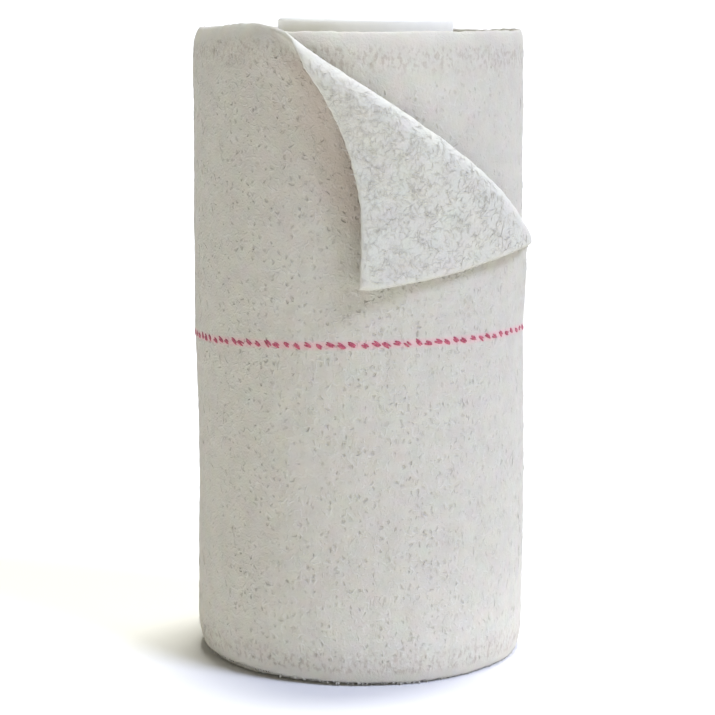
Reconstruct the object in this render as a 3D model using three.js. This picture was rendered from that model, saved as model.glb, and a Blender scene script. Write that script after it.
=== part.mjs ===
// Elastic adhesive bandage roll, in millimetres, standing on its end with +Z up.
// A crepe strip is wound round a hollow plastic core. The top corner of its free end is folded
// down over the outermost turn. Angles are in degrees, from the front (-Y) towards +X.
import * as THREE from "three";
import { mergeVertices } from "three/addons/utils/BufferGeometryUtils.js";

const { clamp, degToRad, lerp, radToDeg, smoothstep } = THREE.MathUtils;

const strip = { width: 100, layer: 0.88 };
const core = { radius: 14, wall: 1.5, height: 101.8, rim: 0.55, offset: 0.9 };
const roll = { radius: 27.03, radiusAngle: 90, stepAngle: -100, stepWidth: 0.7, rim: 1, boreEdge: 0.4 };
const loose = { thickness: 1, startAngle: -99.2 };
const gap = 0.3;

// The loose turn sits higher than the rest, more on its left, most of all where the fold begins.
const lift = {
  all: 0.3,
  left: { height: 0.5, from: 20, over: 60 },
  crest: { height: 0.75, along: -17, wide: 9, aboveUp: 40 },
};

// The folded corner, on the flat strip: "along" is measured from the front, "up" from its foot.
// The fold runs from the top selvedge (a) down to the cut end (b), and the end slants.
const fold = {
  a: new THREE.Vector2(-15, strip.width),
  b: new THREE.Vector2(34.3, 65),
  endSlant: 0.15,
  bend: { a: 2, middle: 3.7, b: 1.15, flatness: 0.6 },
  turnedBy: { a: 0.03, b: -0.16 },
  stretch: { a: 0.75, rest: 1.28, restFrom: 0.62 },
  restHeight: { cutEnd: 1.45, corner: 2.3, cornerReach: 12 },
  settles: { radii: 7, least: 5 },
  raised: { height: 0.8, before: 9, after: 8, from: -8, full: 4 },
};

// Soft hollows and swellings of the wound surface: depth is positive inwards.
const dents = [
  { angle: -90, up: 31, depth: 0.3, wide: 12, tall: 15 },
  { angle: -84, up: 62, depth: -0.25, wide: 14, tall: 16 },
  { angle: -20, up: 30, depth: 0.25, wide: 12, tall: 18 },
  { angle: 25, up: 12, depth: -0.2, wide: 14, tall: 10 },
  { angle: 78, up: 8, depth: 0.35, wide: 16, tall: 14 },
  { angle: 150, up: 70, depth: 0.3, wide: 14, tall: 18 },
  { angle: -150, up: 45, depth: 0.3, wide: 12, tall: 20 },
];

const detail = { around: 72, mainTurns: 5, grooveDepth: 0.4, rimSteps: 4, wallSteps: 7 };
const coreDetail = { around: 56, rimSteps: 2 };
const sheetDetail = { beforeFold: 14, toCorner: 13, toEnd: 12, base: 11, bend: 8, flap: 7 };

function placed(angle, radius, up) {
  const turn = degToRad(angle);
  return new THREE.Vector3(radius * Math.sin(turn), -radius * Math.cos(turn), up);
}

function unevenness(angle, up) {
  let sum = 0;
  for (const dent of dents) {
    const round = ((angle - dent.angle + 540) % 360) - 180;
    const across = (degToRad(round) * roll.radius) / dent.wide;
    const over = (up - dent.up) / dent.tall;
    sum -= dent.depth * Math.exp(-across * across - over * over);
  }
  return sum;
}

// Outside of the outermost turn: the winding grows by one layer in each turn.
function turnRadius(angle) {
  return roll.radius - (strip.layer * (roll.radiusAngle - angle)) / 360;
}

// Outside of the turn that lies under the loose end.
function underRadius(angle, up) {
  return turnRadius(angle) - strip.layer + unevenness(angle, up);
}

// Distance from the winding's axis to the bore round the core, whose own axis is a little aside.
function boreRadius(angle) {
  const turn = degToRad(angle);
  const radius = core.radius + gap;
  const aside = core.offset * Math.cos(turn);
  return core.offset * Math.sin(turn) + Math.sqrt(radius * radius - aside * aside);
}

// Materials

function matte(color, roughness) {
  return new THREE.MeshStandardMaterial({ color, roughness, metalness: 0 });
}

const crepe = matte(0xd2d1cb, 0.95);
const crepeEnd = matte(0xdad9d3, 0.95);
const plastic = matte(0xe9ebe8, 0.4);

// Closed meshes

// A grid of points that closes on itself both ways, like the skin of a ring.
function ringGeometry(loops) {
  const count = loops[0].length;
  const triangles = [];
  for (let i = 0; i < loops.length; i++) {
    const next = (i + 1) % loops.length;
    for (let j = 0; j < count; j++) {
      const beside = (j + 1) % count;
      const a = i * count + j;
      const b = next * count + j;
      const c = next * count + beside;
      const d = i * count + beside;
      triangles.push(a, b, c, a, c, d);
    }
  }
  return new THREE.BufferGeometry().setFromPoints(loops.flat()).setIndex(triangles);
}

// A sheet from two matching grids, its outer and inner face, joined round the rim. Where columns
// or rows run together in one point, their empty triangles are left out.
function sheetGeometry(outer, inner) {
  const columns = outer.length;
  const rows = outer[0].length;
  const innerStart = columns * rows;
  const at = (i, j) => i * rows + j;
  const triangles = [];
  const quad = (a, b, c, d) => triangles.push(a, b, c, a, c, d);
  for (let i = 0; i + 1 < columns; i++) {
    for (let j = 0; j + 1 < rows; j++) {
      quad(at(i, j), at(i + 1, j), at(i + 1, j + 1), at(i, j + 1));
      quad(
        innerStart + at(i, j),
        innerStart + at(i, j + 1),
        innerStart + at(i + 1, j + 1),
        innerStart + at(i + 1, j),
      );
    }
  }
  const rim = [];
  for (let i = 0; i + 1 < columns; i++) rim.push(at(i, 0));
  for (let j = 0; j + 1 < rows; j++) rim.push(at(columns - 1, j));
  for (let i = columns - 1; i > 0; i--) rim.push(at(i, rows - 1));
  for (let j = rows - 1; j > 0; j--) rim.push(at(0, j));
  rim.forEach((a, k) => {
    const b = rim[(k + 1) % rim.length];
    quad(innerStart + a, innerStart + b, b, a);
  });
  const points = [...outer.flat(), ...inner.flat()];
  const whole = new THREE.BufferGeometry().setFromPoints(points).setIndex(triangles);
  const merged = mergeVertices(whole, 1e-4);
  const index = merged.getIndex().array;
  const kept = [];
  for (let k = 0; k < index.length; k += 3) {
    const [a, b, c] = index.slice(k, k + 3);
    if (a !== b && b !== c && c !== a) kept.push(a, b, c);
  }
  return merged.setIndex(kept);
}

// Core: a hollow plastic tube with rounded rims

function coreGeometry() {
  const { radius, wall, height, rim } = core;
  const section = new THREE.Shape();
  section.moveTo(radius - wall, rim);
  section.absarc(radius - wall + rim, rim, rim, Math.PI, 1.5 * Math.PI);
  section.absarc(radius - rim, rim, rim, -0.5 * Math.PI, 0);
  section.absarc(radius - rim, height - rim, rim, 0, 0.5 * Math.PI);
  section.absarc(radius - wall + rim, height - rim, rim, 0.5 * Math.PI, Math.PI);
  const points = section.getPoints(coreDetail.rimSteps);
  points.push(points[0].clone());
  const tube = new THREE.LatheGeometry(points, coreDetail.around);
  tube.rotateX(Math.PI / 2);
  tube.deleteAttribute("normal");
  tube.deleteAttribute("uv");
  return mergeVertices(tube, 1e-4);
}

// Wound roll: the turns as one body, from the bore out to the turn under the loose end

// Rows round the section: how far out (0 at the bore, 1 outside), inset, height.
function sectionRows() {
  const { width } = strip;
  const rows = [
    { out: 0, inset: 0, up: roll.boreEdge },
    { out: 0, inset: -roll.boreEdge, up: 0 },
  ];
  const turn = Math.PI / 2 / detail.rimSteps;
  for (let k = 0; k <= detail.rimSteps; k++) {
    const inset = roll.rim * (1 - Math.sin(k * turn));
    rows.push({ out: 1, inset, up: roll.rim * (1 - Math.cos(k * turn)) });
  }
  for (let k = 1; k < detail.wallSteps; k++) {
    rows.push({ out: 1, inset: 0, up: lerp(roll.rim, width - roll.rim, k / detail.wallSteps) });
  }
  for (let k = detail.rimSteps; k >= 0; k--) {
    const inset = roll.rim * (1 - Math.sin(k * turn));
    rows.push({ out: 1, inset, up: width - roll.rim * (1 - Math.cos(k * turn)) });
  }
  for (let k = 2 * detail.mainTurns - 1; k > 0; k--) {
    const groove = k % 2 === 0 ? detail.grooveDepth : 0;
    rows.push({ out: k / (2 * detail.mainTurns), inset: 0, up: width - groove });
  }
  rows.push({ out: 0, inset: 0, up: width - detail.grooveDepth });
  return rows;
}

function rollGeometry() {
  const rows = sectionRows();
  const loops = [];
  for (let i = 0; i <= detail.around; i++) {
    const angle = roll.stepAngle + (i * (360 - roll.stepWidth)) / detail.around;
    const bore = boreRadius(angle);
    const loop = rows.map(({ out, inset, up }) => {
      const outside = underRadius(angle, up);
      return placed(angle, lerp(bore, outside, out) - inset, up);
    });
    loops.push(loop);
  }
  return ringGeometry(loops);
}

// Loose end: the outermost turn to its cut end, with the folded corner

const foldDirection = fold.b.clone().sub(fold.a).normalize();
const foldAcross = new THREE.Vector2(-foldDirection.y, foldDirection.x);
const foldLength = fold.b.distanceTo(fold.a);
const corner = new THREE.Vector2(fold.b.x - fold.endSlant * (strip.width - fold.b.y), strip.width);
const cornerAlong = corner.clone().sub(fold.a).dot(foldDirection);
const cornerAcross = corner.clone().sub(fold.a).dot(foldAcross);

function endAlong(up) {
  return corner.x + fold.endSlant * (strip.width - up);
}

function bendRadius(share) {
  const { a, middle, b } = fold.bend;
  const w = clamp(share, 0, 1);
  return a * (1 - w) ** 2 + 2 * middle * w * (1 - w) + b * w * w;
}

// Where a point of the flat strip lies: along and up on the roll's surface, and height off it.
function foldedPlace(point) {
  const rel = point.clone().sub(fold.a);
  const share = clamp(rel.dot(foldDirection) / foldLength, 0, 1);
  const lengthways = rel.dot(foldDirection);
  const beyond = rel.dot(foldAcross);
  const raised = fold.raised.height * smoothstep(lengthways, fold.raised.from, fold.raised.full);
  if (beyond <= 0) {
    const height = raised * smoothstep(beyond, -fold.raised.before, 0);
    return { along: point.x, up: point.y, height };
  }

  const radius = bendRadius(share);
  const bent = Math.min(beyond / radius, Math.PI);
  const flat = Math.max(beyond - Math.PI * radius, 0);
  const turned = lerp(fold.turnedBy.a, fold.turnedBy.b, share) * smoothstep(bent, 0, Math.PI);
  const stretch = lerp(fold.stretch.a, fold.stretch.rest, clamp(share / fold.stretch.restFrom, 0, 1));
  const back = foldAcross.clone().rotateAround(new THREE.Vector2(), turned);
  const place = fold.a.clone().addScaledVector(foldDirection, lengthways);
  place.addScaledVector(back, radius * Math.sin(bent) - flat * stretch);
  const { cutEnd, corner: cornerHeight, cornerReach } = fold.restHeight;
  const fromCorner = Math.hypot(lengthways - cornerAlong, beyond - cornerAcross) / cornerReach;
  const rest = lerp(cutEnd, cornerHeight, Math.exp(-fromCorner * fromCorner));
  const settled = smoothstep(flat, 0, Math.max(fold.settles.radii * radius, fold.settles.least));
  const bendHeight = radius * fold.bend.flatness * (1 - Math.cos(bent));
  const onCloth = lerp(bendHeight, rest, settled);
  const height = onCloth + raised * (1 - smoothstep(flat, 0, fold.raised.after));
  return { along: place.x, up: place.y, height };
}

function liftedBy(place) {
  const { left, crest } = lift;
  const fromCrest = (place.along - crest.along) / crest.wide;
  const nearTop = smoothstep(place.up, crest.aboveUp, strip.width);
  const crestLift = crest.height * nearTop * Math.exp(-fromCrest * fromCrest);
  return lift.all + left.height * smoothstep(left.from - place.along, 0, left.over) + crestLift;
}

function loosePoint(point) {
  const place = foldedPlace(point);
  const angle = radToDeg(place.along / roll.radius);
  const radius = underRadius(angle, place.up) + gap + loose.thickness / 2 + place.height;
  return placed(angle, radius, place.up + liftedBy(place));
}

// Outward direction of the cloth there, from its slopes along and up.
function looseNormal(point) {
  const step = 0.05;
  const aside = loosePoint(new THREE.Vector2(point.x + step, point.y));
  const above = loosePoint(new THREE.Vector2(point.x, point.y + step));
  const asideBack = loosePoint(new THREE.Vector2(point.x - step, point.y));
  const below = loosePoint(new THREE.Vector2(point.x, point.y - step));
  return aside.sub(asideBack).cross(above.sub(below)).normalize();
}

// How far the cloth goes on past the fold, square to it, to the selvedge or the cut end.
function clothBeyond(start) {
  const toSelvedge = (strip.width - start.y) / foldAcross.y;
  const endSquare = foldAcross.x + fold.endSlant * foldAcross.y;
  const toEnd = (endAlong(start.y) - start.x) / endSquare;
  return Math.max(Math.min(toSelvedge, toEnd), 0);
}

// One column of flat points: up the standing cloth, round the bend, then out over the flap.
function looseColumn(foot, top, share) {
  const column = [];
  for (let j = 0; j < sheetDetail.base; j++) {
    column.push(foot.clone().lerp(top, j / sheetDetail.base));
  }
  const reach = share === null ? 0 : clothBeyond(top);
  const bend = share === null ? 0 : Math.min(Math.PI * bendRadius(share), reach);
  for (let j = 0; j < sheetDetail.bend; j++) {
    column.push(top.clone().addScaledVector(foldAcross, (bend * j) / sheetDetail.bend));
  }
  for (let j = 0; j <= sheetDetail.flap; j++) {
    column.push(top.clone().addScaledVector(foldAcross, lerp(bend, reach, j / sheetDetail.flap)));
  }
  return column;
}

function looseGeometry() {
  const startAlong = degToRad(loose.startAngle) * roll.radius;
  const { beforeFold, toCorner, toEnd } = sheetDetail;
  const cornerShare = cornerAlong / foldLength;
  const tops = [];
  for (let i = 0; i < beforeFold; i++) {
    const top = new THREE.Vector2(lerp(startAlong, fold.a.x, i / beforeFold), strip.width);
    tops.push({ top, share: null });
  }
  for (let i = 0; i < toCorner + toEnd; i++) {
    const beforeCorner = (cornerShare * i) / toCorner;
    const afterCorner = lerp(cornerShare, 1, (i - toCorner) / toEnd);
    const share = i < toCorner ? beforeCorner : afterCorner;
    tops.push({ top: fold.a.clone().lerp(fold.b, share), share });
  }
  tops.push({ top: fold.b, share: 1 });
  const footEnd = endAlong(0);
  const columns = tops.map(({ top, share }) => {
    const across = (top.x - startAlong) / (fold.b.x - startAlong);
    return looseColumn(new THREE.Vector2(lerp(startAlong, footEnd, across), 0), top, share);
  });
  const faces = [0.5, -0.5].map((side) =>
    columns.map((column) =>
      column.map((point) =>
        loosePoint(point).addScaledVector(looseNormal(point), side * loose.thickness),
      ),
    ),
  );
  return sheetGeometry(...faces);
}

// Assembly: the object stands on z = 0, centred on the Z axis

function named(name, geometry, material) {
  const mesh = new THREE.Mesh(geometry, material);
  mesh.name = name;
  return mesh;
}

const tube = named("core", coreGeometry(), plastic);
tube.position.x = core.offset;
const woundRoll = named("wound_roll", rollGeometry(), crepe);
const looseEnd = named("loose_end", looseGeometry(), crepeEnd);
const winding = new THREE.Group();
winding.add(tube, woundRoll, looseEnd);
const middle = new THREE.Box3().setFromObject(winding).getCenter(new THREE.Vector3());
winding.position.set(-middle.x, -middle.y, 0);

const bandageRoll = new THREE.Group();
bandageRoll.add(winding);

export default bandageRoll;
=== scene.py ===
# Elastic adhesive bandage roll: a crepe strip wound round a plastic core, with the top corner
# of its free end folded down. The scene is in metres, and sizes on the roll and along the flat
# strip are in millimetres.
import math
import random

import bmesh
import bpy
import numpy as np
from mathutils import Matrix, Vector, noise


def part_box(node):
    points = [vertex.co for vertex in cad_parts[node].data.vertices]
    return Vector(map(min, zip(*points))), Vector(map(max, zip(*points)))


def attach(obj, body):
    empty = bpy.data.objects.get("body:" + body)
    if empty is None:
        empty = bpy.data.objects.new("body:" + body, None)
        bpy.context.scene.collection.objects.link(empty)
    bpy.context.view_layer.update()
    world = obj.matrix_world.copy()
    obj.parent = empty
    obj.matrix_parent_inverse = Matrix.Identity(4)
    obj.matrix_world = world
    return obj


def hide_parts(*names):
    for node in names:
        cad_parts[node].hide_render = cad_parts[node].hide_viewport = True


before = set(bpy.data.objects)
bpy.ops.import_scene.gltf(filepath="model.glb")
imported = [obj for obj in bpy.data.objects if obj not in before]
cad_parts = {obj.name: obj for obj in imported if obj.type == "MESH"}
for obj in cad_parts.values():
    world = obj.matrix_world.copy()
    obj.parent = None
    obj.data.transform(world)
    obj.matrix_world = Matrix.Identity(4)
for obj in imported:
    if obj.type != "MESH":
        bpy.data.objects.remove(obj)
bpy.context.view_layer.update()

millimetre = 0.001
uvUnit = 100  # millimetres of cloth to one unit of its UV map

# Camera, at the photograph's angle

camera = {
    "place": (-0.00047, -0.35858, 0.10448),
    "tilt": 0.156,  # radians below level
    "lens": 112.53,
    "sensor": 36,
}


def addCamera():
    data = bpy.data.cameras.new("camera")
    data.lens = camera["lens"]
    data.sensor_width = camera["sensor"]
    made = bpy.data.objects.new("camera", data)
    made.location = camera["place"]
    made.rotation_euler = (math.pi / 2 - camera["tilt"], 0, 0)
    bpy.context.scene.collection.objects.link(made)
    bpy.context.scene.camera = made
    bpy.context.scene.view_settings.view_transform = "Standard"


addCamera()
print("camera made")

# Meshes and shader nodes


def linkMesh(name, data):
    data.polygons.foreach_set("use_smooth", [True] * len(data.polygons))
    made = bpy.data.objects.new(name, data)
    bpy.context.scene.collection.objects.link(made)
    return made


def newObject(name, bm):
    data = bpy.data.meshes.new(name)
    bm.to_mesh(data)
    bm.free()
    return linkMesh(name, data)


# A full turn about the vertical axis, with its seam closed
def spinRound(bm, geometry, steps, gap):
    bmesh.ops.spin(bm, geom=geometry, cent=(0, 0, 0), axis=(0, 0, 1), angle=2 * math.pi,
                   steps=steps, use_merge=True)
    bmesh.ops.remove_doubles(bm, verts=bm.verts, dist=gap)
    bmesh.ops.recalc_face_normals(bm, faces=bm.faces)


# Gives inputs their values, or links them to the sockets that they come from
def fill(tree, node, inputs):
    for key, value in inputs.items():
        if isinstance(value, bpy.types.NodeSocket):
            tree.links.new(value, node.inputs[key])
        else:
            node.inputs[key].default_value = value


def newMaterial(name, finish):
    made = bpy.data.materials.new(name)
    made.use_nodes = True
    shader = made.node_tree.nodes["Principled BSDF"]
    fill(made.node_tree, shader, finish)
    return made, made.node_tree, shader


def addNode(tree, kind, inputs, **settings):
    made = tree.nodes.new("ShaderNode" + kind)
    for key, value in settings.items():
        setattr(made, key, value)
    fill(tree, made, inputs)
    return made


def mathNode(tree, operation, a, b=0.0, clamp=False):
    return addNode(tree, "Math", {0: a, 1: b}, operation=operation, use_clamp=clamp).outputs[0]


def times(tree, a, b):
    return mathNode(tree, "MULTIPLY", a, b)


def plus(tree, a, b, clamp=False):
    return mathNode(tree, "ADD", a, b, clamp)


def minus(tree, a, b):
    return mathNode(tree, "SUBTRACT", a, b)


def vectorNode(tree, operation, a, b):
    return addNode(tree, "VectorMath", {0: a, 1: b}, operation=operation).outputs[0]


# A value from low to high becomes one from toLow to toHigh, and stays there beyond them
def spread(tree, value, low, high, toLow=0.0, toHigh=1.0, soft=True):
    kind = "SMOOTHSTEP" if soft else "LINEAR"
    inputs = {"Value": value, "From Min": low, "From Max": high, "To Min": toLow, "To Max": toHigh}
    return addNode(tree, "MapRange", inputs, interpolation_type=kind).outputs["Result"]


def mixColor(tree, factor, a, b):
    a, b = ((*color, 1) if isinstance(color, tuple) else color for color in (a, b))
    return addNode(tree, "Mix", {0: factor, 6: a, 7: b}, data_type="RGBA").outputs[2]


def noiseValue(tree, place, scale, detail, roughness=0.5, kind="FBM"):
    inputs = {"Vector": place, "Scale": scale, "Detail": detail, "Roughness": roughness}
    return addNode(tree, "TexNoise", inputs, noise_type=kind, normalize=True).outputs[0]


def scaledPlace(tree, place, scale, shift=(0, 0, 0)):
    inputs = {"Vector": place, "Scale": scale, "Location": shift}
    return addNode(tree, "Mapping", inputs).outputs[0]


# A noise of three values around zero
def wander(tree, place, scale, detail, by):
    inputs = {"Vector": place, "Scale": scale, "Detail": detail}
    color = addNode(tree, "TexNoise", inputs).outputs["Color"]
    return vectorNode(tree, "MULTIPLY", vectorNode(tree, "SUBTRACT", color, (0.5,) * 3), by)


# A colour in soft patches of itself and of a darker one
def mottled(tree, value, dark, color, patches=(0.35, 0.65)):
    return mixColor(tree, spread(tree, value, *patches), dark, color)


def darker(color, share):
    return tuple(share * c for c in color)


def bumped(tree, height, strength, distance):
    inputs = {"Height": height, "Strength": strength, "Distance": distance}
    return addNode(tree, "Bump", inputs).outputs[0]


# Floor and light

studio = {
    "floorColor": (0.93, 0.915, 0.865),
    "floorRoughness": 0.9,
    "flatRadius": 2.0,
    "rings": (0, 0.1, 0.3, 1),  # shares of the flat radius
    "rimRadius": 4.5,
    "rimHeight": 0.4,
    "rimSteps": 6,
    "around": 64,
    "worldColor": (1.0, 0.98, 0.92),
    "worldStrength": 0.12,
    "lampDistance": 3,
}
# All lamps are far ones: the way to them, their strength, angle (softness) and colour
lamps = {
    "keyLight": ((0.70, -0.48, 0.90), 2.65, 21, (0.62, 0.695, 1.0)),
    "backLight": ((0.75, 0.55, 0.75), 0.75, 30, (0.88, 0.88, 1.0)),
    "topLight": ((0.045, 0.11, 1), 2.65, 14, (0.985, 1.0, 0.96)),
    "fillLight": ((-0.45, -1, 0.12), 0.38, 45, (1.0, 0.98, 0.87)),
}


def addFloor():
    bm = bmesh.new()
    flat, rim, steps = studio["flatRadius"], studio["rimRadius"], studio["rimSteps"]
    line = [bm.verts.new((flat * share, 0, 0)) for share in studio["rings"]]
    for step in range(1, steps + 1):
        x = flat + (rim - flat) * step / steps
        line.append(bm.verts.new((x, 0, studio["rimHeight"] * (step / steps) ** 2)))
    edges = [bm.edges.new(pair) for pair in zip(line, line[1:])]
    spinRound(bm, line + edges, studio["around"], 1e-5)
    if sum(face.normal.z for face in bm.faces) < 0:
        bmesh.ops.reverse_faces(bm, faces=bm.faces)
    floor = newObject("floor", bm)
    floor.data.materials.append(newMaterial("floorPaint", {
        "Base Color": (*studio["floorColor"], 1),
        "Roughness": studio["floorRoughness"],
        "Specular IOR Level": 0.0,
    })[0])


def addWorld():
    world = bpy.data.worlds.new("studio")
    world.use_nodes = True
    fill(world.node_tree, world.node_tree.nodes["Background"], {
        "Color": (*studio["worldColor"], 1),
        "Strength": studio["worldStrength"],
    })
    bpy.context.scene.world = world


def addLights():
    for name, (way, strength, angle, color) in lamps.items():
        data = bpy.data.lights.new(name, "SUN")
        data.energy, data.angle, data.color = strength, math.radians(angle), color
        lamp = bpy.data.objects.new(name, data)
        lamp.location = Vector(way).normalized() * studio["lampDistance"]
        lamp.rotation_euler = Vector(way).to_track_quat("Z", "Y").to_euler()
        bpy.context.scene.collection.objects.link(lamp)


addFloor()
addWorld()
addLights()
print("floor and lights made")

# Core: a hollow tube of white plastic with rounded rims

core = {
    "radius": 14,
    "wall": 1.5,
    "height": 102.6,
    "rim": 0.55,
    "rimSteps": 5,
    "around": 128,
    "color": (0.82, 0.80, 0.70),
    "cloudNoise": (160.0, 3.0),  # scale and detail
    "cloudsDarker": 0.94,
    "grainNoise": (1400.0, 2.0),
    "grainRange": (0.3, 0.7),
    "grainStrength": 0.15,
    "grainDepth": 0.00005,
    "roughness": 0.38,
    "roughnessVaries": 0.06,
    "subsurface": 0.85,
    "scatter": 0.004,
}

coreLow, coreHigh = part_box("core")
coreCentre = (coreLow + coreHigh) / 2


def coreMaterial():
    material, tree, shader = newMaterial("corePlastic", {
        "Subsurface Weight": core["subsurface"],
        "Subsurface Radius": (1, 1, 1),
        "Subsurface Scale": core["scatter"],
    })
    place = addNode(tree, "TexCoord", {}).outputs["Object"]
    clouds = noiseValue(tree, place, *core["cloudNoise"])
    grain = noiseValue(tree, place, *core["grainNoise"])
    least = core["roughness"] - core["roughnessVaries"]
    most = core["roughness"] + core["roughnessVaries"]
    dark = darker(core["color"], core["cloudsDarker"])
    fill(tree, shader, {
        "Base Color": mottled(tree, clouds, dark, core["color"]),
        "Roughness": spread(tree, grain, *core["grainRange"], least, most),
        "Normal": bumped(tree, grain, core["grainStrength"], core["grainDepth"]),
    })
    return material


def addCore():
    bm = bmesh.new()
    outer, height = core["radius"], core["height"]
    inner = outer - core["wall"]
    section = ((inner, 0), (outer, 0), (outer, height), (inner, height))
    bm.faces.new([bm.verts.new((x, 0, z)) for x, z in section])
    bmesh.ops.bevel(bm, geom=list(bm.verts), offset=core["rim"], segments=core["rimSteps"],
                    profile=0.5, affect="VERTICES", material=-1, offset_type="OFFSET")
    bmesh.ops.delete(bm, geom=list(bm.faces), context="FACES_ONLY")
    spinRound(bm, list(bm.edges) + list(bm.verts), core["around"], 1e-4)
    bmesh.ops.scale(bm, vec=(millimetre,) * 3, verts=bm.verts)
    bmesh.ops.translate(bm, vec=(coreCentre.x, coreCentre.y, 0), verts=bm.verts)
    made = newObject("coreTube", bm)
    made.data.materials.append(coreMaterial())
    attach(made, "root")
    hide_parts("core")


addCore()
print("core made")

# The winding: one strip in a spiral, which grows by a layer in each turn. Angles are in degrees
# from the front (-Y) towards +X and go on below zero into the roll. Along is the place along
# the strip, 0 at the front, and up the place from its foot.

winding = {
    "width": 100,
    "layer": 0.88,
    "thickness": 0.82,
    "edgeThickness": (0.6, 0.88, 1.0),  # shares at the edge, next to it and inside
    "outside": 27.03,
    "outsideAngle": 90,
    "coreOffset": 0.9,
    "innermost": 14.74,
    "looseFrom": -100,
    "topTurnFrom": -400,
    "meanAngle": -180,  # where the radius of the turn under the loose end is taken
}
dents = [  # angle, up, depth, wide, tall
    (-90, 31, 0.3, 12, 15),
    (-84, 62, -0.25, 14, 16),
    (-20, 30, 0.25, 12, 18),
    (25, 12, -0.2, 14, 10),
    (78, 8, 0.35, 16, 14),
    (150, 70, 0.3, 14, 18),
    (-150, 45, 0.3, 12, 20),
]
relief = {  # height, wide, tall, seed
    "wave": (0.16, 9, 15, 1.5),
    "swell": (0.09, 3.4, 6, 7.5),
    "crepe": (0.11, 1.25, 1.9, 12.5),
}
selvedge = {
    "curlTop": 0.95,  # the edges lean inwards
    "curlFoot": 0.8,
    "deepTop": 3.2,
    "deepFoot": 4.6,
    "curlPower": 2.2,
    "mostCurled": 1.05,
    "curlSides": (0.7, 0.3),  # the middle share, and how much less on the right
    "calm": (0.25, 0.5, 4),  # share of the fine relief at the edge, and where it grows
    "slow": (0.2, 11, 3.3, 21.5),  # height, wide, row and seed of the edge's unevenness
    "quick": (0.16, 0.9, 6.6, 31.5),
    "slowReach": 7,
    "quickReach": 1.2,
    "slowAtFoot": 0.5,
    "footRaised": (0.45, -0.2, -20, 30),  # on the left, on the right, and between where
}
lift = {  # of the cloth off the floor
    "all": 0.45,
    "behind": (-150, -60),
    "left": (0.25, 20, 60),  # height, from there leftwards, over this length
    "topLeft": (0.45, -18, -7),  # height, and where it ends
    "crest": (0.7, -18, 8),  # height, along and width of the rise at the fold
    "above": 40,
}
frontEdge = {  # of the turn that shows above the fold
    "rise": 0.65,
    "rises": (200, 262),  # degrees back from the front
    "dip": 0.4,
    "dips": (110, 150),
    "dipEnds": (-262, -230),
    "above": 60,
}
threadLine = {"from": -40, "to": 10, "up": 51.83, "rise": 1.6}  # where it slants upwards

axisX = coreCentre.x / millimetre - winding["coreOffset"]
axisY = coreCentre.y / millimetre
looseAlong = math.radians(winding["looseFrom"]) * winding["outside"]


def between(a, b, share):
    return a + (b - a) * share


def smoothRise(x, low, high):
    share = np.clip((x - low) / (high - low), 0, 1)
    return share * share * (3 - 2 * share)


def unit(vectors):
    return vectors / np.linalg.norm(vectors, axis=-1, keepdims=True)


# Ways along and up a surface, as differences over a step each way
def slopes(surface, along, up, step):
    return (
        surface(along + step, up) - surface(along - step, up),
        surface(along, up + step) - surface(along, up - step),
    )


def placed(angle, radius, up, aside=0.0):
    turn = np.radians(angle)
    x = axisX + aside + radius * np.sin(turn)
    return np.stack([x, axisY - radius * np.cos(turn), up], -1)


# Radius of the middle of the cloth's thickness
def middleRadius(angle):
    outside = winding["outside"] - winding["layer"] * (winding["outsideAngle"] - angle) / 360
    return outside - winding["layer"] / 2


def angleAt(radius):
    short = winding["outside"] - winding["layer"] / 2 - radius
    return winding["outsideAngle"] - 360 * short / winding["layer"]


def alongWinding(angle):
    start = winding["looseFrom"]
    mean = (middleRadius(angle) + middleRadius(start)) / 2
    return looseAlong + np.radians(angle - start) * mean


def threadUp(along):
    rise = smoothRise(along, threadLine["from"], threadLine["to"])
    return threadLine["up"] + threadLine["rise"] * rise


def unevenness(angle, up):
    total = np.zeros(np.broadcast(angle, up).shape)
    for dentAngle, dentUp, depth, wide, tall in dents:
        across = np.radians((angle - dentAngle + 180) % 360 - 180) * winding["outside"] / wide
        total -= depth * np.exp(-(across ** 2) - ((up - dentUp) / tall) ** 2)
    return total


def curlAt(up, angle):
    deep, power, most = selvedge["deepTop"], selvedge["curlPower"], selvedge["mostCurled"]
    nearTop = np.clip((up - winding["width"] + deep) / deep, 0, most)
    nearFoot = np.clip(1 - up / selvedge["deepFoot"], 0, most)
    middle, less = selvedge["curlSides"]
    share = middle - less * np.sin(np.radians(angle))
    top = share * selvedge["curlTop"] * nearTop ** power
    return top + selvedge["curlFoot"] * nearFoot ** power


def softNoise(along, up, wide, tall, seed):
    places = zip((along / wide).ravel(), (up / tall).ravel())
    values = [noise.noise(Vector((x, y, seed))) for x, y in places]
    return np.array(values).reshape(along.shape)


# The same from the foot to the top
def edgeNoise(along, height, wide, row, seed):
    return height * softNoise(along, np.full_like(along, row), wide, 1, seed)


def clothRelief(along, up):
    atEdge, low, high = selvedge["calm"]
    fromEdge = np.minimum(up, winding["width"] - up)
    inner = atEdge + (1 - atEdge) * smoothRise(fromEdge, low, high)
    wave, swell, crepe = (
        height * softNoise(along, up, *size) for height, *size in relief.values()
    )
    return wave + (swell + crepe) * inner


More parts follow.
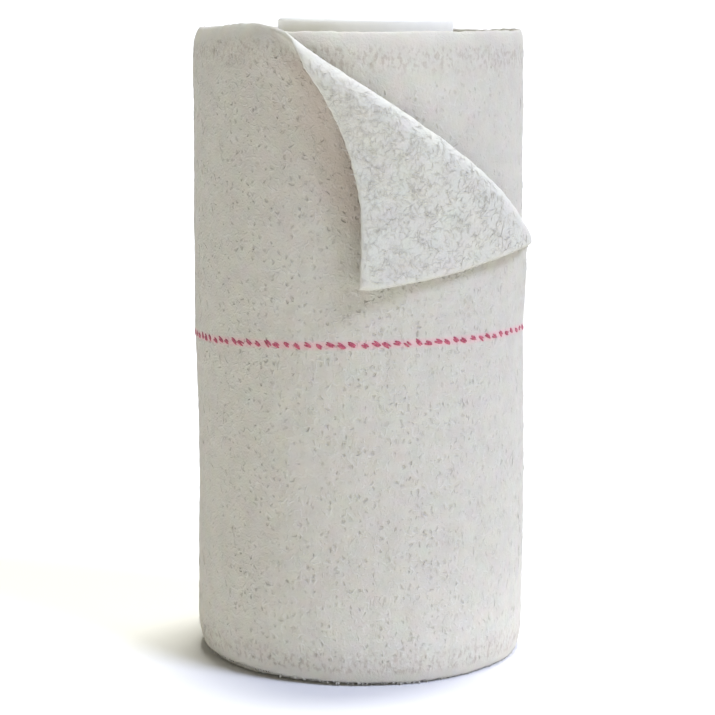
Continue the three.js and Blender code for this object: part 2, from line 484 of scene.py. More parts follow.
# Unevenness of the edges, up and down
def edgeShift(along, up):
    width, slowReach, quickReach = winding["width"], selvedge["slowReach"], selvedge["quickReach"]
    nearTop = smoothRise(up, width - slowReach, width)
    nearFoot = 1 - smoothRise(up, 0, slowReach)
    toothTop = smoothRise(up, width - quickReach, width)
    toothFoot = 1 - smoothRise(up, 0, quickReach)
    slow = edgeNoise(along, *selvedge["slow"])
    quick = edgeNoise(along, *selvedge["quick"])
    top = slow * nearTop + quick * toothTop
    foot = selvedge["slowAtFoot"] * slow * nearFoot + quick * toothFoot
    left, right, low, high = selvedge["footRaised"]
    raised = between(left, right, smoothRise(along, low, high))
    return top * (up > width / 2) + (foot + raised * nearFoot) * (up <= width / 2)


def liftedBy(along, up):
    above = smoothRise(up, lift["above"], winding["width"])
    behind = smoothRise(along, *lift["behind"])
    height, start, over = lift["left"]
    left = height * smoothRise(start - along, 0, over)
    height, low, high = lift["topLeft"]
    topLeft = height * (1 - smoothRise(along, low, high))
    height, middle, wide = lift["crest"]
    crest = height * np.exp(-(((along - middle) / wide) ** 2))
    return (lift["all"] + left + topLeft * above) * behind + crest * above


# Points of the turns under the loose end
def turnPoints(along, up, angle):
    radius = middleRadius(angle) + unevenness(angle, up) - curlAt(up, angle)
    radius = radius + clothRelief(along, up)
    dip = frontEdge["dip"] * smoothRise(-angle, *frontEdge["dips"])
    share = smoothRise(-angle, *frontEdge["rises"]) - dip * smoothRise(angle, *frontEdge["dipEnds"])
    rise = frontEdge["rise"] * share * smoothRise(up, frontEdge["above"], winding["width"])
    return placed(angle, radius, up + edgeShift(along, up) + liftedBy(along, up) + rise)


# The folded corner: its fold line, and how the cloth beyond it bends over and comes to rest

fold = {
    "start": (-14.9, 100),
    "end": (34.3, 64.73),
    "cutSlant": 0.15,
    "cutBulge": (1.0, 88, 11),  # size, up and tall
    "bend": (1.5, 3.7, 1.15),  # radius at the start, middle and end of the fold
    "flatness": 0.6,
    "turnedBy": (0.03, -0.16),  # radians, at the start and the end
    "stretch": (0.32, 1.27, 0.62),  # at the start and the end, and how soon it is full
    "restAtCutEnd": 1.2,
    "restAtCorner": 2.3,
    "cornerReach": 12,
    "restAtEdge": {"extra": 1.9, "reach": 12, "grows": (1, 8), "ends": (26, 48)},
    "settles": (7, 5),  # in bend radii, and at least this far
    "ridge": {"height": 0.8, "grows": (-8, 4), "before": -9, "after": 8},
    "curlEnds": (0.1, 1.0),  # heights at which the edge's curl dies out
}

foldStart = np.array(fold["start"], float)
foldVector = np.array(fold["end"], float) - foldStart
foldLength = float(np.hypot(*foldVector))
foldDirection = foldVector / foldLength
foldAcross = np.array([-foldDirection[1], foldDirection[0]])
cutTop = fold["end"][0] - fold["cutSlant"] * (winding["width"] - fold["end"][1])
cornerPlace = np.array([cutTop, winding["width"]])
cornerAlong = float((cornerPlace - foldStart) @ foldDirection)
cornerAcross = float((cornerPlace - foldStart) @ foldAcross)


# Along of the cut end at each height
def endAlong(up):
    bulge, middle, tall = fold["cutBulge"]
    swell = bulge * np.exp(-(((up - middle) / tall) ** 2))
    return cornerPlace[0] + fold["cutSlant"] * (winding["width"] - up) + swell


# How far off the cloth below the folded part rests
def restHeight(up, lengthways, beyond):
    fromCorner = np.hypot(lengthways - cornerAlong, beyond - cornerAcross) / fold["cornerReach"]
    rest = between(fold["restAtCutEnd"], fold["restAtCorner"], np.exp(-(fromCorner ** 2)))
    edge = fold["restAtEdge"]
    nearEdge = 1 - smoothRise(winding["width"] - up, 0, edge["reach"])
    grows, ends = smoothRise(lengthways, *edge["grows"]), smoothRise(lengthways, *edge["ends"])
    return rest + edge["extra"] * nearEdge * grows * (1 - ends)


def bendRadius(share):
    start, middle, end = fold["bend"]
    return start * (1 - share) ** 2 + 2 * middle * share * (1 - share) + end * share ** 2


# Along and up of the way away from the fold line, which turns as the cloth bends over
def turnedAcross(share, bent):
    start, end = fold["turnedBy"]
    turned = (start * (1 - share) + end * share) * smoothRise(bent, 0, math.pi)
    return (
        foldAcross[0] * np.cos(turned) - foldAcross[1] * np.sin(turned),
        foldAcross[0] * np.sin(turned) + foldAcross[1] * np.cos(turned),
    )


# Along, up and height off the roll of points of the flat strip
def foldedPlace(along, up):
    fromStart = np.stack([along, up], -1) - foldStart
    lengthways, beyond = fromStart @ foldDirection, fromStart @ foldAcross
    share = np.clip(lengthways / foldLength, 0, 1)
    radius = bendRadius(share)
    bent = np.clip(beyond / radius, 0, math.pi)
    flat = np.maximum(beyond - math.pi * radius, 0)
    least, most, full = fold["stretch"]
    stretch = between(least, most, np.clip(share / full, 0, 1))
    reach = radius * np.sin(bent) - flat * stretch
    backAlong, backUp = turnedAcross(share, bent)
    placeAlong = foldStart[0] + foldDirection[0] * lengthways + backAlong * reach
    placeUp = foldStart[1] + foldDirection[1] * lengthways + backUp * reach

    radii, least = fold["settles"]
    settled = smoothRise(flat, 0, np.maximum(radii * radius, least))
    bendHeight = radius * fold["flatness"] * (1 - np.cos(bent))
    onCloth = between(bendHeight, restHeight(up, lengthways, beyond), settled)
    ridge = fold["ridge"]
    raised = ridge["height"] * smoothRise(lengthways, *ridge["grows"])
    height = onCloth + raised * (1 - smoothRise(flat, 0, ridge["after"]))
    standing = beyond <= 0
    return (
        np.where(standing, along, placeAlong),
        np.where(standing, up, placeUp),
        np.where(standing, raised * smoothRise(beyond, ridge["before"], 0), height),
    )


def loosePoints(along, up):
    placeAlong, placeUp, height = foldedPlace(along, up + edgeShift(along, up))
    angle = np.degrees(placeAlong / winding["outside"])
    inwards = curlAt(up, angle) * (1 - smoothRise(height, *fold["curlEnds"]))
    radius = middleRadius(angle) + unevenness(angle, placeUp) + height - inwards
    return placed(angle, radius, placeUp + liftedBy(placeAlong, placeUp))


# Points of the loose end with the cloth's relief
def looseSurface(along, up, step=0.05):
    normal = unit(np.cross(*slopes(loosePoints, along, up, step)))
    return loosePoints(along, up) + normal * clothRelief(along, up)[..., None]


# A grid of the flat strip, moved to its place, with a UV map of the flat strip
def stripGrid(name, along, up, points):
    columns, rows = along.shape
    bm = bmesh.new()
    bmesh.ops.create_grid(bm, x_segments=columns - 1, y_segments=rows - 1, size=0.5)
    made = newObject(name, bm)
    data = made.data
    flat = np.empty(columns * rows * 3)
    data.vertices.foreach_get("co", flat)
    flat = flat.reshape(-1, 3)
    i = np.rint((flat[:, 0] + 0.5) * (columns - 1)).astype(int)
    j = np.rint((flat[:, 1] + 0.5) * (rows - 1)).astype(int)
    data.vertices.foreach_set("co", (points[i, j] * millimetre).ravel())
    corner = np.empty(len(data.loops), int)
    data.loops.foreach_get("vertex_index", corner)
    uv = np.stack([along[i, j], up[i, j]], -1)[corner] / uvUnit
    data.uv_layers.new(name="cloth").data.foreach_set("uv", uv.ravel())
    return made, i, j


# Keeps the shading of a cut column apart from the strip's faces
def sharpColumn(made, i, column):
    data = made.data
    ends = np.empty(len(data.edges) * 2, int)
    data.edges.foreach_get("vertices", ends)
    sharp = (i[ends.reshape(-1, 2)] == column).all(1)
    data.attributes.new("sharp_edge", "BOOLEAN", "EDGE").data.foreach_set("value", sharp)


# Solid cloth, thinner along its selvedges, and at its first and last column where that is said
def thicken(made, i, j, thinFirst=False, thinLast=False):
    group = made.vertex_groups.new(name="thickness")
    fromEdge = np.minimum(j, j.max() - j)
    if thinFirst:
        fromEdge = np.minimum(fromEdge, i)
    if thinLast:
        fromEdge = np.minimum(fromEdge, i.max() - i)
    shares = winding["edgeThickness"]
    for level, share in enumerate(shares):
        chosen = np.minimum(fromEdge, len(shares) - 1) == level
        group.add(np.nonzero(chosen)[0].tolist(), share, "REPLACE")
    solid = made.modifiers.new("thickness", "SOLIDIFY")
    solid.thickness = winding["thickness"] * millimetre
    solid.offset = 0
    solid.vertex_group = "thickness"
    return solid


# Cloth finish. A range holds from and to, and then what it gives there if not 0 and 1. Those
# named along and up are in millimetres on the flat strip.

cloth = {
    "outer": {"color": (0.585, 0.553, 0.465), "pores": 1.0, "curls": 0.05},
    "inner": {"color": (0.62, 0.605, 0.525), "pores": 0.3, "curls": 0.4},
    # painted shade in the holes of the weave and between the curls
    "holeShadeColor": (0.30, 0.27, 0.21),
    "yarnColor": (0.67, 0.65, 0.58),
    "bandColor": (0.40, 0.34, 0.27),
    # painted shade beside the folded corner
    "flapShadeColor": (0.47, 0.37, 0.30),
    "threadTint": (0.74, 0.38, 0.40),
    "patchesDarker": 0.95,
    "roughness": 0.95,
    "specular": 0.2,
    "sheen": 0.1,
    "sheenRoughness": 0.6,
    "bump": 0.00022,
}
weave = {
    "warp": (0.75, 2.0, (1.5, 1.3, 0.0)),  # scale, detail and how far
    "netShape": (1.0, 0.78, 1.0),
    "netScale": (0.86, 0.9),  # scale and randomness
    "pores": (0, (0.27, 0.06), (0.1, 1.1)),  # colour channel, size and strength
    "poresAlong": (6.0, 20.0, 1.0, 0.55),
    "dotScale": (1.35, 1.0),
    "dots": (2, (0.24, 0.08), (0.4, 1.2)),
    "dotShare": 0.45,
    "slitShape": ((1.25, 0.36, 1.0), (3.7, 9.1, 0)),
    "slitScale": (1.0, 1.0),
    "slits": (1, (0.2, 0.05), (0.3, 1.0)),
    "slitsAlong": (-4.0, 14.0, 0.25, 1.0),
    "slitShare": 0.8,
    "yarnWidth": (0.17, 0.0),
    "brokenNoise": (0.9, 2.0),
    "broken": (0.46, 0.6),
    "streakShape": (1.0, 0.4, 1.0),
    "streakNoise": (0.8, 3.0, 0.6, "RIDGED_MULTIFRACTAL"),
    "fineNoise": (2.7, 3.0, 0.65),
    "curlNoise": (1.05, 1.0, 0.5, "RIDGED_MULTIFRACTAL"),
    "curlsBeyondFold": (3.0, 8.0, 0.45, 1.0),
    "patchNoise": (0.13, 3.0),
    "patches": (0.36, 0.62, 0.55, 1.0),
    "calmSides": (17.0, 30.0, 1.0, 0.6),
    "topEdgeUp": (97.6, 98.6),
    "footEdgeUp": (2.2, 1.2),
}
heights = {"yarns": 0.3, "streaks": 0.12, "fine": 0.55, "holes": 0.8}  # shares of the bump
tones = {
    "mottleNoise": (0.3, 4.0),
    "hues": (0.4, 3.0, (0.07, 0.07, 0.07)),
    "yarns": 0.5,  # how strongly yarns and holes take their colour
    "holes": 0.42,
    "curls": (0.3, 0.7, 0.22, 0.0),
    "strokeShape": (1.0, 0.55, 1.0),
    "strokeNoise": (1.5, 3.0, 0.6),
    "strokes": (0.48, 0.63, 0.0),
    "strokeShare": 0.6,
    "topBandUp": ((92.5, 96.0), (98.2, 97.2)),
    "footBandUp": ((6.0, 3.0), (1.0, 2.0)),
    # painted light and shade, as gains on the colour: paler near the fold's crest, darker at the
    # top, paler at the foot, paler on the turn just above the fold
    "litNearCrestAlong": (26.0, -8.0, 1.0, 1.11),
    "shadedTopUp": (100.0, 25.0, 0.90, 0.985),
    "litFootUp": (22.0, 2.0, 1.0, 1.16),
    "coveredAlong": (-138.0, -150.0),  # the turn that shows above the fold
    "litCoveredAlong": ((-186.0, -170.0), (-146.0, -164.0)),
    "litCoveredUp": (62.0, 85.0, 0.0, 0.1),
}
# Painted shade beside the folded corner, where the flap shades the cloth, and the thread's pink
# tint
shadeAndTint = {
    "flapSlant": 0.3,
    "flapAlong": 21.0,
    "besideFlap": (-6.0, -0.5, 0.0, 0.42),
    "towardsFlap": (-26.0, -11.0, 0.0, 0.1),
    "belowUp": (65.0, 76.0),
    "aboveUp": (98.0, 94.5),
    "endsAlong": (6.0, 1.0),
    "besideThread": (0.95, 0.25, 0.0, 0.5),
}


def cellInputs(place, scale, randomness):
    return {"Vector": place, "Scale": scale, "Randomness": randomness}


# Round marks in cells, each of its own strength
def spots(tree, place, cellScale, channel, size, strength):
    cells = addNode(tree, "TexVoronoi", cellInputs(place, *cellScale), voronoi_dimensions="2D")
    own = addNode(tree, "SeparateColor", {0: cells.outputs["Color"]}).outputs[channel]
    mark = spread(tree, cells.outputs["Distance"], *size)
    return times(tree, mark, spread(tree, own, *strength))


# The weave's marks: holes, yarns and curls, and where the weave is rough
def weaveMarks(tree, place, along, up, side):
    warp = wander(tree, place, *weave["warp"])
    bent = vectorNode(tree, "ADD", place, warp)

    # an open net of yarns with pores between them
    net = scaledPlace(tree, bent, weave["netShape"])
    pore = spots(tree, net, weave["netScale"], *weave["pores"])
    pore = times(tree, pore, spread(tree, along, *weave["poresAlong"]))
    borders = addNode(tree, "TexVoronoi", cellInputs(net, *weave["netScale"]),
                      voronoi_dimensions="2D", feature="DISTANCE_TO_EDGE").outputs["Distance"]
    broken = spread(tree, noiseValue(tree, place, *weave["brokenNoise"]), *weave["broken"])
    yarns = times(tree, spread(tree, borders, *weave["yarnWidth"]), broken)

    # dots, and slits mostly towards the right of the front
    dot = spots(tree, bent, weave["dotScale"], *weave["dots"])
    slitPlace = scaledPlace(tree, bent, *weave["slitShape"])
    slit = spots(tree, slitPlace, weave["slitScale"], *weave["slits"])
    slit = times(tree, slit, spread(tree, along, *weave["slitsAlong"]))

    # the sides are calmer, and the selvedges closer and smoother
    calm = spread(tree, mathNode(tree, "ABSOLUTE", along), *weave["calmSides"])
    patch = spread(tree, noiseValue(tree, place, *weave["patchNoise"]), *weave["patches"])
    topEdge = spread(tree, up, *weave["topEdgeUp"])
    footEdge = spread(tree, up, *weave["footEdgeUp"])
    inside = minus(tree, 1.0, mathNode(tree, "MAXIMUM", topEdge, footEdge))
    rough = times(tree, times(tree, patch, calm), inside)

    curls = noiseValue(tree, bent, *weave["curlNoise"])
    if side == "inner":
        alongPart = times(tree, minus(tree, along, fold["start"][0]), foldAcross[0])
        upPart = times(tree, minus(tree, up, fold["start"][1]), foldAcross[1])
        beyond = plus(tree, alongPart, upPart)
        curls = times(tree, curls, spread(tree, beyond, *weave["curlsBeyondFold"]))

    holes = plus(tree, pore, times(tree, dot, weave["dotShare"]), True)
    holes = plus(tree, holes, times(tree, slit, weave["slitShare"]), True)
    holes = times(tree, holes, times(tree, rough, cloth[side]["pores"]))
    return bent, holes, yarns, curls, rough


def clothHeight(tree, place, bent, holes, yarns, curls, rough, side):
    pores = cloth[side]["pores"]
    streakPlace = scaledPlace(tree, bent, weave["streakShape"])
    streaks = noiseValue(tree, streakPlace, *weave["streakNoise"])
    fine = noiseValue(tree, place, *weave["fineNoise"])
    height = times(tree, times(tree, yarns, heights["yarns"]), times(tree, rough, pores))
    height = plus(tree, height, times(tree, streaks, heights["streaks"] * pores))
    height = plus(tree, height, times(tree, fine, heights["fine"]))
    height = plus(tree, height, times(tree, curls, cloth[side]["curls"]))
    return minus(tree, height, times(tree, holes, heights["holes"]))


# Yarns paler than the cloth, painted shade in the pores, dots and slits and between the curls, and
# darker strokes in a band along each edge
def clothColor(tree, place, up, holes, yarns, curls, rough, side):
    color, pores = cloth[side]["color"], cloth[side]["pores"]
    patches = noiseValue(tree, place, *tones["mottleNoise"])
    base = mottled(tree, patches, darker(color, cloth["patchesDarker"]), color)
    base = vectorNode(tree, "ADD", base, wander(tree, place, *tones["hues"]))
    shown = times(tree, yarns, times(tree, rough, tones["yarns"] * pores))
    base = mixColor(tree, shown, base, cloth["yarnColor"])
    # painted shade in the pores, dots and slits
    base = mixColor(tree, times(tree, holes, tones["holes"]), base, cloth["holeShadeColor"])
    # painted shade between the curls
    curlShade = times(tree, spread(tree, curls, *tones["curls"]), cloth[side]["curls"])
    base = mixColor(tree, curlShade, base, cloth["holeShadeColor"])
    topBand, footBand = (
        times(tree, spread(tree, up, *starts), spread(tree, up, *ends))
        for starts, ends in (tones["topBandUp"], tones["footBandUp"])
    )
    band = mathNode(tree, "MAXIMUM", topBand, footBand)
    strokePlace = scaledPlace(tree, place, tones["strokeShape"])
    strokes = noiseValue(tree, strokePlace, *tones["strokeNoise"])
    strokes = spread(tree, strokes, *tones["strokes"], tones["strokeShare"] * pores)
    return mixColor(tree, times(tree, band, strokes), base, cloth["bandColor"])


# Painted light and shade, as a gain on the colour: the outer cloth darker at the top and paler
# towards the foot, and the turn that shows above the fold paler just above it, against the shade
# the fold casts; on the inner face paler towards the left, along the fold's lit crest
def paintedLight(tree, along, up, side):
    if side == "inner":
        return spread(tree, along, *tones["litNearCrestAlong"])
    towardsFoot = spread(tree, up, *tones["shadedTopUp"], soft=False)
    lightGain = times(tree, towardsFoot, spread(tree, up, *tones["litFootUp"]))
    covered = spread(tree, along, *tones["coveredAlong"])
    starts, ends = tones["litCoveredAlong"]
    shown = times(tree, spread(tree, along, *starts), spread(tree, along, *ends))
    shown = times(tree, shown, spread(tree, up, *tones["litCoveredUp"]))
    lightGain = times(tree, lightGain, minus(tree, 1.0, covered))
    return plus(tree, lightGain, times(tree, plus(tree, 1.0, shown), covered))


# Painted shade, brownish, beside the folded corner, where the flap shades the cloth below it; and a
# pink tint along the thread
def paintShadeAndTint(tree, base, along, up):
    slanted = plus(tree, times(tree, up, shadeAndTint["flapSlant"]), -shadeAndTint["flapAlong"])
    besideFlap = spread(tree, plus(tree, along, slanted), *shadeAndTint["besideFlap"])
    flapShade = plus(tree, spread(tree, along, *shadeAndTint["towardsFlap"]), besideFlap)
    for value, ends in ((up, "belowUp"), (up, "aboveUp"), (along, "endsAlong")):
        flapShade = times(tree, flapShade, spread(tree, value, *shadeAndTint[ends]))
    base = mixColor(tree, flapShade, base, cloth["flapShadeColor"])
    low, high = threadLine["up"], threadLine["up"] + threadLine["rise"]
    line = spread(tree, along, threadLine["from"], threadLine["to"], low, high)
    fromThread = mathNode(tree, "ABSOLUTE", minus(tree, up, line))
    nearThread = spread(tree, fromThread, *shadeAndTint["besideThread"])
    return mixColor(tree, nearThread, base, cloth["threadTint"])


def clothMaterial(name, side):
    material, tree, shader = newMaterial(name, {
        "Roughness": cloth["roughness"],
        "Specular IOR Level": cloth["specular"],
        "Sheen Weight": cloth["sheen"],
        "Sheen Roughness": cloth["sheenRoughness"],
    })
    flat = addNode(tree, "UVMap", {}, uv_map="cloth").outputs[0]
    place = scaledPlace(tree, flat, (uvUnit,) * 3)  # in millimetres
    along, up = addNode(tree, "SeparateXYZ", {0: place}).outputs[:2]
    bent, *marks = weaveMarks(tree, place, along, up, side)
    height = clothHeight(tree, place, bent, *marks, side)
    base = clothColor(tree, place, up, *marks, side)
    # painted light and shade, as a gain on the colour
    shade = {0: base, "Scale": paintedLight(tree, along, up, side)}
    base = addNode(tree, "VectorMath", shade, operation="SCALE").outputs[0]
    if side == "outer":
        # painted shade beside the folded corner, and the thread's pink tint
        base = paintShadeAndTint(tree, base, along, up)
    fill(tree, shader, {"Base Color": base, "Normal": bumped(tree, height, 1.0, cloth["bump"])})
    return material


outerCloth = clothMaterial("crepeOuter", "outer")
innerCloth = clothMaterial("crepeInner", "inner")
turnsCloth = clothMaterial("crepeTurns", "outer")
print("cloth finish made")

# Wound turns, the turn before the last, and the loose end

woundTurns = {
    "perTurn": 96,
    "rows": [0, 0.2, 0.5, 1, 3, 10, 25, 50, 75, 90, 97, 99, 99.5, 99.8, 100],
    "dentsFrom": 0.5,  # share of the way out
    "curledTurns": 4,
    "wobble": (0.04, 12, 30, 4.5),  # height, wide, tall, seed
    "edges": 0.6,  # share of the unevenness of the outer turns' edges
    "topShift": (0.12, 35, 0, 2.5),  # height, wide, row, seed
    "topLower": 0.6,
}
topTurn = {"columns": 214}
looseEnd = {"columns": 190}
fineRows = {"spacing": 0.62, "inset": 1, "nearEdge": (0, 0.22, 0.5)}  # of the outer pieces


def outerRows():
    width, inset, nearEdge = winding["width"], fineRows["inset"], fineRows["nearEdge"]
    count = round((width - 2 * inset) / fineRows["spacing"])
    middle = np.linspace(inset, width - inset, count + 1)
    return np.concatenate([nearEdge, middle, [width - row for row in reversed(nearEdge)]])


def addWoundTurns():
    start, end = angleAt(winding["innermost"]), winding["topTurnFrom"]
    count = int((end - start) / 360 * woundTurns["perTurn"])
    angle = np.linspace(start, end, count)[:, None]
    up = np.array(woundTurns["rows"], float)[None, :]
    angle, up = np.broadcast_arrays(angle, up)
    along = alongWinding(angle)
    radius = middleRadius(angle)
    outermost = middleRadius(end)
    out = (radius - winding["innermost"]) / (outermost - winding["innermost"])
    radius = radius + unevenness(angle, up) * smoothRise(out, woundTurns["dentsFrom"], 1)
    height, *size = woundTurns["wobble"]
    radius = radius + height * softNoise(along, up, *size)
    curledFrom = outermost - woundTurns["curledTurns"] * winding["layer"]
    radius = radius - curlAt(up, angle) * smoothRise(radius, curledFrom, outermost)
    upper = up > winding["width"] / 2
    layerShift = edgeNoise(along, *woundTurns["topShift"]) * upper
    shifted = up + edgeShift(along, up) * woundTurns["edges"] + layerShift
    aside = winding["coreOffset"] * (1 - out)
    points = placed(angle, radius, shifted - woundTurns["topLower"] * upper, aside)
    points[..., 2] = np.maximum(points[..., 2], 0)
    made, i, j = stripGrid("woundTurns", along, up, points)
    thicken(made, i, j, thinFirst=True, thinLast=True)
    made.data.materials.append(turnsCloth)
    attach(made, "root")
    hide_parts("wound_roll")


def addTopTurn():
    columns = topTurn["columns"]
    angle = np.linspace(winding["topTurnFrom"], winding["looseFrom"], columns)[:, None]
    angle, up = np.broadcast_arrays(angle, outerRows()[None, :])
    along = alongWinding(angle)
    made, i, j = stripGrid("topTurn", along, up, turnPoints(along, up, angle))
    sharpColumn(made, i, columns - 1)
    thicken(made, i, j)
    made.data.materials.append(turnsCloth)
    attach(made, "root")
    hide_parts("wound_roll")


def addLooseEnd():
    up = outerRows()[None, :]
    share = np.linspace(0, 1, looseEnd["columns"])[:, None]
    along = looseAlong + (endAlong(up) - looseAlong) * share
    up = np.broadcast_to(up, along.shape)
    made, i, j = stripGrid("looseEnd", along, up, looseSurface(along, up))
    sharpColumn(made, i, 0)
    solid = thicken(made, i, j, thinLast=True)
    solid.material_offset = 1
    made.data.materials.append(outerCloth)
    made.data.materials.append(innerCloth)
    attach(made, "root")
    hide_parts("loose_end")


# Places on the outer face, with a matrix each: along, up and outwards
def outerFrames(along, up, side=1, step=0.3):
    behind = (along <= looseAlong)[:, None]
    meanRadius = middleRadius(winding["meanAngle"])

    def middle(along, up):
        angle = winding["looseFrom"] + np.degrees((along - looseAlong) / meanRadius)
        return np.where(behind, turnPoints(along, up, angle), looseSurface(along, up))

    across, upward = slopes(middle, along, up, step)
    outward = unit(np.cross(across, upward) * np.reshape(side, (-1, 1)))
    across = unit(across)
    turned = np.stack([across, np.cross(outward, across), outward], -1)
    return middle(along, up) + outward * winding["thickness"] / 2, turned


# One mesh of many copies of a small closed shape, each with its own points
def joinedCopies(name, bm, points):
    bm.verts.ensure_lookup_table()
    faces = [[v.index for v in face.verts] for face in bm.faces]
    bm.free()
    count, each = points.shape[:2]
    joined = [[i + each * copy for i in face] for copy in range(count) for face in faces]
    data = bpy.data.meshes.new(name)
    data.from_pydata((points.reshape(-1, 3) * millimetre).tolist(), [], joined)
    return linkMesh(name, data)


# Red thread along the middle: short floats of two strands on the outer face

redThread = {
    "from": -132,
    "to": 35.5,
    "seed": 41,
    "spacing": 1.7,
    "spacingVaries": (0.82, 1.18),
    "long": 1.4,
    "longVaries": (0.72, 1.12),
    "wide": 0.4,
    "wideVaries": (0.8, 1.15),
    "thick": 0.26,
    "apart": 0.3,
    "zigzag": 0.09,
    "shift": 0.12,
    "slant": -28,
    "slantVaries": 13,
    "turn": 0.16,
    "around": 12,
    "rings": 8,
    "color": (0.50, 0.12, 0.16),
    "darkColor": (0.33, 0.05, 0.085),
    "strandNoise": (2600.0, 2.0),
    "strandStrength": 0.6,
    "strandDepth": 0.00006,
    "roughness": 0.75,
    "sheen": 0.2,
}


def threadMaterial():
    material, tree, shader = newMaterial("redThread", {
        "Roughness": redThread["roughness"],
        "Sheen Weight": redThread["sheen"],
    })
    place = addNode(tree, "TexCoord", {}).outputs["Object"]
    strands = noiseValue(tree, place, *redThread["strandNoise"])
    fill(tree, shader, {
        "Base Color": mottled(tree, strands, redThread["darkColor"], redThread["color"]),
        "Normal": bumped(tree, strands, redThread["strandStrength"], redThread["strandDepth"]),
    })
    return material


def addRedThread():
    rand = random.Random(redThread["seed"])
    vary, apart, shift = redThread["slantVaries"], redThread["apart"], redThread["shift"]
    places, ups, shapes = [], [], []
    along, high = redThread["from"], 1
    while along < redThread["to"]:
        high = -high
        slant = math.radians(redThread["slant"] + rand.uniform(-vary, vary))
        for side in (-0.5, 0.5):
            turn = slant + rand.uniform(-redThread["turn"], redThread["turn"])
            long = redThread["long"] * rand.uniform(*redThread["longVaries"])
            wide = redThread["wide"] * rand.uniform(*redThread["wideVaries"])
            halves = [size / 2 for size in (long, wide, redThread["thick"])]
            shapes.append(np.array(Matrix.Rotation(turn, 3, "Z") @ Matrix.Diagonal(halves)))
            places.append(along - side * apart * math.sin(slant) + rand.uniform(-shift, shift))
            up = threadUp(along) + redThread["zigzag"] * high
            ups.append(up + side * apart * math.cos(slant))
        along += redThread["spacing"] * rand.uniform(*redThread["spacingVaries"])
    place, turned = outerFrames(np.array(places), np.array(ups))
    bm = bmesh.new()
    bmesh.ops.create_uvsphere(bm, u_segments=redThread["around"], v_segments=redThread["rings"],
                              radius=1)
    shape = np.array([v.co for v in bm.verts])
    points = np.einsum("nij,njk,vk->nvi", turned, np.array(shapes), shape) + place[:, None, :]
    made = joinedCopies("redThread", bm, points)
    made.data.materials.append(threadMaterial())
    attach(made, "root")


# Fibres: teeth, yarn ends and fuzz along the edges, and loose curls lying on both faces

fibres = {
    "seed": 7,
    "from": redThread["from"],
    "to": 43.5,
    "thick": 0.032,
    "around": 3,
    "rings": 6,
    "color": (0.66, 0.635, 0.555),
    "darker": 0.86,
    "toneNoise": (900.0, 2.0),
    "roughness": 0.9,
}
teeth = {
    "spacing": 0.46,
    "spacingVaries": (0.75, 1.25),
    "wide": 0.32,
    "wideVaries": (0.7, 1.2),
    "tall": 0.7,
    "tallVaries": (0.5, 1.1),
    "up": 0.12,
    "leanAlong": 0.5,
    "leanOut": 0.25,
    "depth": (0.1, 0.6),
}
edgeFuzz = {
    "count": 1700,
    "atFoot": 0.45,  # share of them; those up to the next share are at the top
    "atTop": 0.55,  # and the rest at the cut end
    "long": (0.3, 0.9),
    "bend": 0.5,
    "tilt": (0.2, 1),
    "out": (-0.2, 1),
    "depth": (0.1, 0.6),
    "footUp": (0, 0.6),
    "topTo": 20,
    "topIn": (0.3, 0.9),
    "topLong": 0.6,
    "cutIn": (0, 0.3),
    "cutOut": 0.5,
    "cutThick": (1, 1.8),
}
faceFuzz = {
    "count": 1500,
    "inset": 1,
    "cutIn": 0.5,
    "out": (0.15, 0.9),
    "long": (0.25, 0.8),
    "bend": 0.5,
    "depth": 0.05,
}
looseCurls = {
    "seed": 17,
    "thick": 0.09,
    "outer": {
        "count": 2600,
        "along": (redThread["from"], 43),
        "insets": (1.8, 1.8),  # from the foot and from the top
        "cutIn": 1,
        "beyondFold": 4,
        "lean": 0.6,
        "out": 0.02,
        "long": (0.8, 1.9),
        "thickVaries": (0.6, 1),
        "bend": 0.5,
    },
    "inner": {
        "count": 1500,
        "along": (fold["start"][0], 43),
        "insets": (60, 0.5),
        "cutIn": 0.6,
        "beyondFold": 5.5,
        "lean": 1,
        "out": 0.04,
        "long": (0.7, 1.5),
        "thickVaries": (0.7, 1.2),
        "bend": 0.9,
    },
}


def fibreMaterial():
    material, tree, shader = newMaterial("clothFibres", {"Roughness": fibres["roughness"]})
    place = addNode(tree, "TexCoord", {}).outputs["Object"]
    tone = noiseValue(tree, place, *fibres["toneNoise"])
    dark = darker(fibres["color"], fibres["darker"])
    fill(tree, shader, {"Base Color": mottled(tree, tone, dark, fibres["color"])})
    return material


fibreFinish = fibreMaterial()


def onInnerFace(along, up, beyond):
    return (np.array([along, up]) - foldStart) @ foldAcross > beyond and along > foldStart[0]


def fromCut(along, up):
    return float(endAlong(up)) - along


def eitherWay(rand, size):
    return rand.uniform(-size, size)


# Each fibre: along, up, lean along, up and outwards, length, thickness, side, bend, depth
def edgeTeeth(rand):
    grown = []
    along = fibres["from"]
    while along < fibres["to"]:
        lean = (eitherWay(rand, teeth["leanAlong"]), -1, eitherWay(rand, teeth["leanOut"]))
        tall = teeth["tall"] * rand.uniform(*teeth["tallVaries"])
        wide = teeth["wide"] * rand.uniform(*teeth["wideVaries"])
        grown.append((along, teeth["up"], *lean, tall, wide, 1, 0, rand.uniform(*teeth["depth"])))
        along += teeth["spacing"] * rand.uniform(*teeth["spacingVaries"])
    return grown


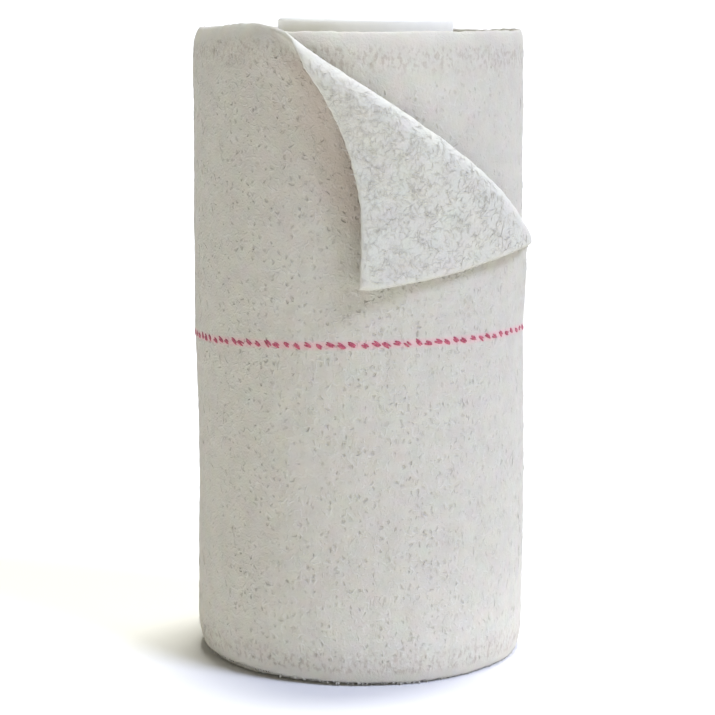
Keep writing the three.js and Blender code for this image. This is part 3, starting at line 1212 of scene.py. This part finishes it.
# A fibre is as thick as the last yarn end before it
def fuzz(rand):
    grown = []
    first, last, width = fibres["from"], fibres["to"], winding["width"]
    thick = fibres["thick"]
    for _ in range(edgeFuzz["count"]):
        kind, long = rand.random(), rand.uniform(*edgeFuzz["long"])
        bend, tilt = eitherWay(rand, edgeFuzz["bend"]), rand.uniform(*edgeFuzz["tilt"])
        out, depth = rand.uniform(*edgeFuzz["out"]), rand.uniform(*edgeFuzz["depth"])
        if kind < edgeFuzz["atFoot"]:
            place = (rand.uniform(first, last), rand.uniform(*edgeFuzz["footUp"]))
            lean = (eitherWay(rand, 1), -tilt, out)
        elif kind < edgeFuzz["atTop"]:
            along = rand.uniform(first, edgeFuzz["topTo"])
            place = (along, width - rand.uniform(*edgeFuzz["topIn"]))
            lean = (eitherWay(rand, 1), tilt, out)
            long *= edgeFuzz["topLong"]
        else:
            up = rand.uniform(0, width)
            place = (float(endAlong(up)) - rand.uniform(*edgeFuzz["cutIn"]), up)
            lean = (tilt, eitherWay(rand, 1), edgeFuzz["cutOut"] * out)
            thick = fibres["thick"] * rand.uniform(*edgeFuzz["cutThick"])
        grown.append((*place, *lean, long, thick, 1, bend, depth))
    inset, depth = faceFuzz["inset"], faceFuzz["depth"]
    for _ in range(faceFuzz["count"]):
        along, up = rand.uniform(first, last), rand.uniform(inset, width - inset)
        lean = (eitherWay(rand, 1), eitherWay(rand, 1), rand.uniform(*faceFuzz["out"]))
        side = -1 if onInnerFace(along, up, looseCurls["outer"]["beyondFold"]) else 1
        if fromCut(along, up) > faceFuzz["cutIn"]:
            long, bend = rand.uniform(*faceFuzz["long"]), eitherWay(rand, faceFuzz["bend"])
            grown.append((along, up, *lean, long, thick, side, bend, depth))
    return grown


def faceCurls(rand):
    grown = []
    for side, face in ((1, looseCurls["outer"]), (-1, looseCurls["inner"])):
        inner, most = side < 0, len(grown) + face["count"]
        fromFoot, fromTop = face["insets"]
        while len(grown) < most:
            along = rand.uniform(*face["along"])
            up = rand.uniform(fromFoot, winding["width"] - fromTop)
            onThisFace = onInnerFace(along, up, face["beyondFold"]) == inner
            if fromCut(along, up) > face["cutIn"] and onThisFace:
                leanAlong = eitherWay(rand, face["lean"])
                leanUp = eitherWay(rand, 1) if inner else rand.choice((-1, 1))
                long = rand.uniform(*face["long"])
                thick = looseCurls["thick"] * rand.uniform(*face["thickVaries"])
                bend = eitherWay(rand, face["bend"])
                lean = (leanAlong, leanUp, face["out"])
                grown.append((along, up, *lean, long, thick, side, bend, 0))
    return grown


def addFibres(name, grown):
    along, up, leanAlong, leanUp, leanOut, length, thick, side, bend, depth = np.array(grown).T
    place, turned = outerFrames(along, up, side)
    outward = turned[:, :, 2]
    place = place - outward * depth[:, None]
    lean = np.stack([leanAlong, leanUp, leanOut], -1)
    direction = unit(np.einsum("nij,nj->ni", turned, lean))
    aside = unit(np.cross(direction, outward))
    other = np.cross(direction, aside)

    bm = bmesh.new()
    bmesh.ops.create_uvsphere(bm, u_segments=fibres["around"], v_segments=fibres["rings"],
                              radius=1)
    shape = np.array([v.co for v in bm.verts])
    high = (shape[:, 2] + 1) / 2
    x = shape[None, :, 0] * thick[:, None] / 2 + (bend * length)[:, None] * high ** 2
    y = shape[None, :, 1] * thick[:, None] / 2
    z = high * length[:, None]
    parts = ((x, aside), (y, other), (z, direction))
    points = place[:, None, :] + sum(part[..., None] * axis[:, None, :] for part, axis in parts)
    points[..., 2] = np.maximum(points[..., 2], 0)
    made = joinedCopies(name, bm, points)
    made.data.materials.append(fibreFinish)
    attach(made, "root")


addRedThread()
print("red thread made")
rand = random.Random(fibres["seed"])
addFibres("clothFibres", edgeTeeth(rand) + fuzz(rand))
addFibres("clothCurls", faceCurls(random.Random(looseCurls["seed"])))
print("fibres and curls made")
addWoundTurns()
print("wound turns made")
addTopTurn()
print("top turn made")
addLooseEnd()
print("loose end made")
